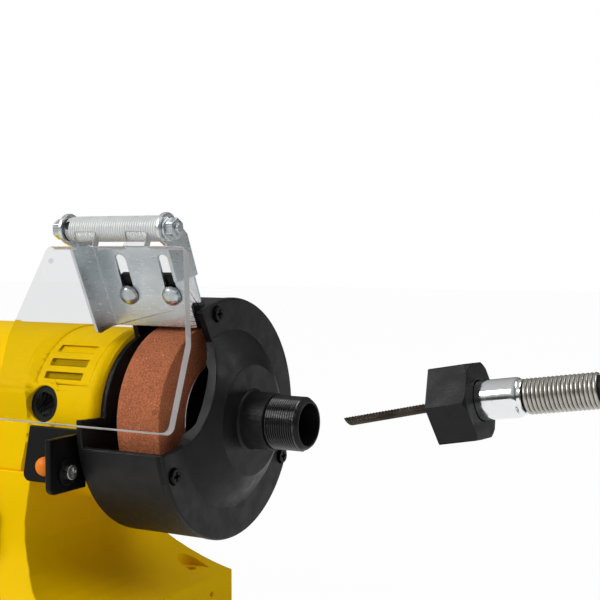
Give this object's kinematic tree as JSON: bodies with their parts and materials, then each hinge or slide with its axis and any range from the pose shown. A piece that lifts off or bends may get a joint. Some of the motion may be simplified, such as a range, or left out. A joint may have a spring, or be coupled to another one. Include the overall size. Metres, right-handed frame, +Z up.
{
  "type": "bench grinder",
  "caption": "Mini bench grinder with a guarded grinding wheel, clear eye shield, threaded outlet nozzle and a loose flexible shaft with handpiece.",
  "frame": {"origin": "middle of the base bolt pattern, on the bench under the rubber feet", "axes": "+X along the spindle towards the outlet nozzle, -Y towards the operator, +Z up"},
  "size_m": [0.5613, 0.1424, 0.176],
  "materials": {
    "yellow_plastic": "satin",
    "black_plastic": "satin",
    "black_metal": "satin",
    "zinc": "zinc plated",
    "steel": "bright",
    "chrome": "polished",
    "abrasive": "gritty",
    "felt": "felt",
    "paper": "card",
    "clear_plastic": "clear",
    "orange_plastic": "gloss",
    "red_plastic": "gloss",
    "lamination": "laminated",
    "copper": "enamelled wire",
    "carbon": "matte",
    "board": "satin",
    "rubber": "matte",
    "sheath_plastic": "satin"
  },
  "bodies": {
    "frame": {"housing_top": "yellow_plastic", "housing_base": "yellow_plastic", "base_plate": "zinc", "feet": "rubber", "housing_screws": "steel", "cable_gland": "black_plastic", "control_panel": "black_plastic", "switch_body": "black_plastic", "dial_pot": "steel", "control_board": "board", "stator_core": "lamination", "field_coils": "copper", "end_brackets": "zinc", "bearings": "steel", "brush_holders": "black_plastic", "brushes": "carbon", "brush_springs": "steel", "brush_caps": "black_plastic", "guard_drum": "black_plastic", "guard_cover": "black_plastic", "cover_screws": "black_metal", "guard_screws": "steel", "rest_bracket": "black_metal", "rest_screw": "steel", "rest_washer": "black_metal", "rest_nut": "steel", "bracket_bolts": "zinc", "bracket_nuts": "zinc", "flex_ferrule": "chrome", "flex_spring": "chrome", "flex_sheath": "sheath_plastic", "flex_coil": "sheath_plastic", "handpiece_grip": "black_plastic", "handpiece_nose": "chrome"},
    "rotor": {"spindle": "steel", "armature_core": "lamination", "armature_windings": "copper", "commutator": "copper", "fan": "black_plastic", "inner_flange_right": "steel", "grinding_wheel": "abrasive", "blotters": "paper", "outer_flange_right": "zinc", "spindle_nut_right": "zinc", "inner_flange_left": "steel", "polishing_wheel": "felt", "outer_flange_left": "zinc", "spindle_nut_left": "zinc"},
    "shield_mount": {"shield_bracket": "zinc", "hinge_bolt": "zinc", "hinge_nut": "zinc", "hinge_washers": "zinc"},
    "shield": {"eye_shield": "clear_plastic"},
    "switch_rocker": {"rocker": "red_plastic"},
    "dial": {"speed_dial": "black_plastic"},
    "knob": {"rest_knob": "orange_plastic"},
    "shaft_nut": {"flex_nut": "black_plastic"},
    "shaft_core": {"flex_core": "steel"},
    "shaft_collet": {"handpiece_collet": "chrome"}
  },
  "joints": [
    {"name": "spindle_spin", "type": "hinge", "parent": "frame", "child": "rotor", "pos_m": [0, 0, 0.095], "axis": [1, 0, 0], "continuous": true},
    {"name": "shield_slide", "type": "slide", "parent": "frame", "child": "shield_mount", "axis": [0, -0.4099, 0.9121], "range_m": [-0.0015, 0]},
    {"name": "shield_hinge", "type": "hinge", "parent": "shield_mount", "child": "shield", "pos_m": [0.08, -0.042, 0.17], "axis": [1, 0, 0], "range_deg": [-100, 0]},
    {"name": "rocker_tilt", "type": "hinge", "parent": "frame", "child": "switch_rocker", "pos_m": [-0.019, -0.0415, 0.048], "axis": [0, 0, 1], "range_deg": [0, 22]},
    {"name": "dial_turn", "type": "hinge", "parent": "frame", "child": "dial", "pos_m": [0.006, -0.045, 0.048], "axis": [0, -1, 0], "range_deg": [-280, 0]},
    {"name": "knob_turn", "type": "hinge", "parent": "frame", "child": "knob", "pos_m": [0.0448, -0.042, 0.0771], "axis": [0, -1, 0], "continuous": true},
    {"name": "shaft_nut_turn", "type": "hinge", "parent": "frame", "child": "shaft_nut", "pos_m": [0.1946, 0, 0.1059], "axis": [0.9833, 0, 0.1822], "continuous": true},
    {"name": "core_spin", "type": "hinge", "parent": "frame", "child": "shaft_core", "pos_m": [0.1946, 0, 0.1059], "axis": [0.9755, 0, 0.2198], "continuous": true},
    {"name": "collet_spin", "type": "hinge", "parent": "frame", "child": "shaft_collet", "pos_m": [0.435, 0.007, 0.0214], "axis": [1, 0, 0], "continuous": true}
  ],
  "couplings": [
    {"joint": "collet_spin", "follows": "core_spin", "ratio": 1}
  ]
}
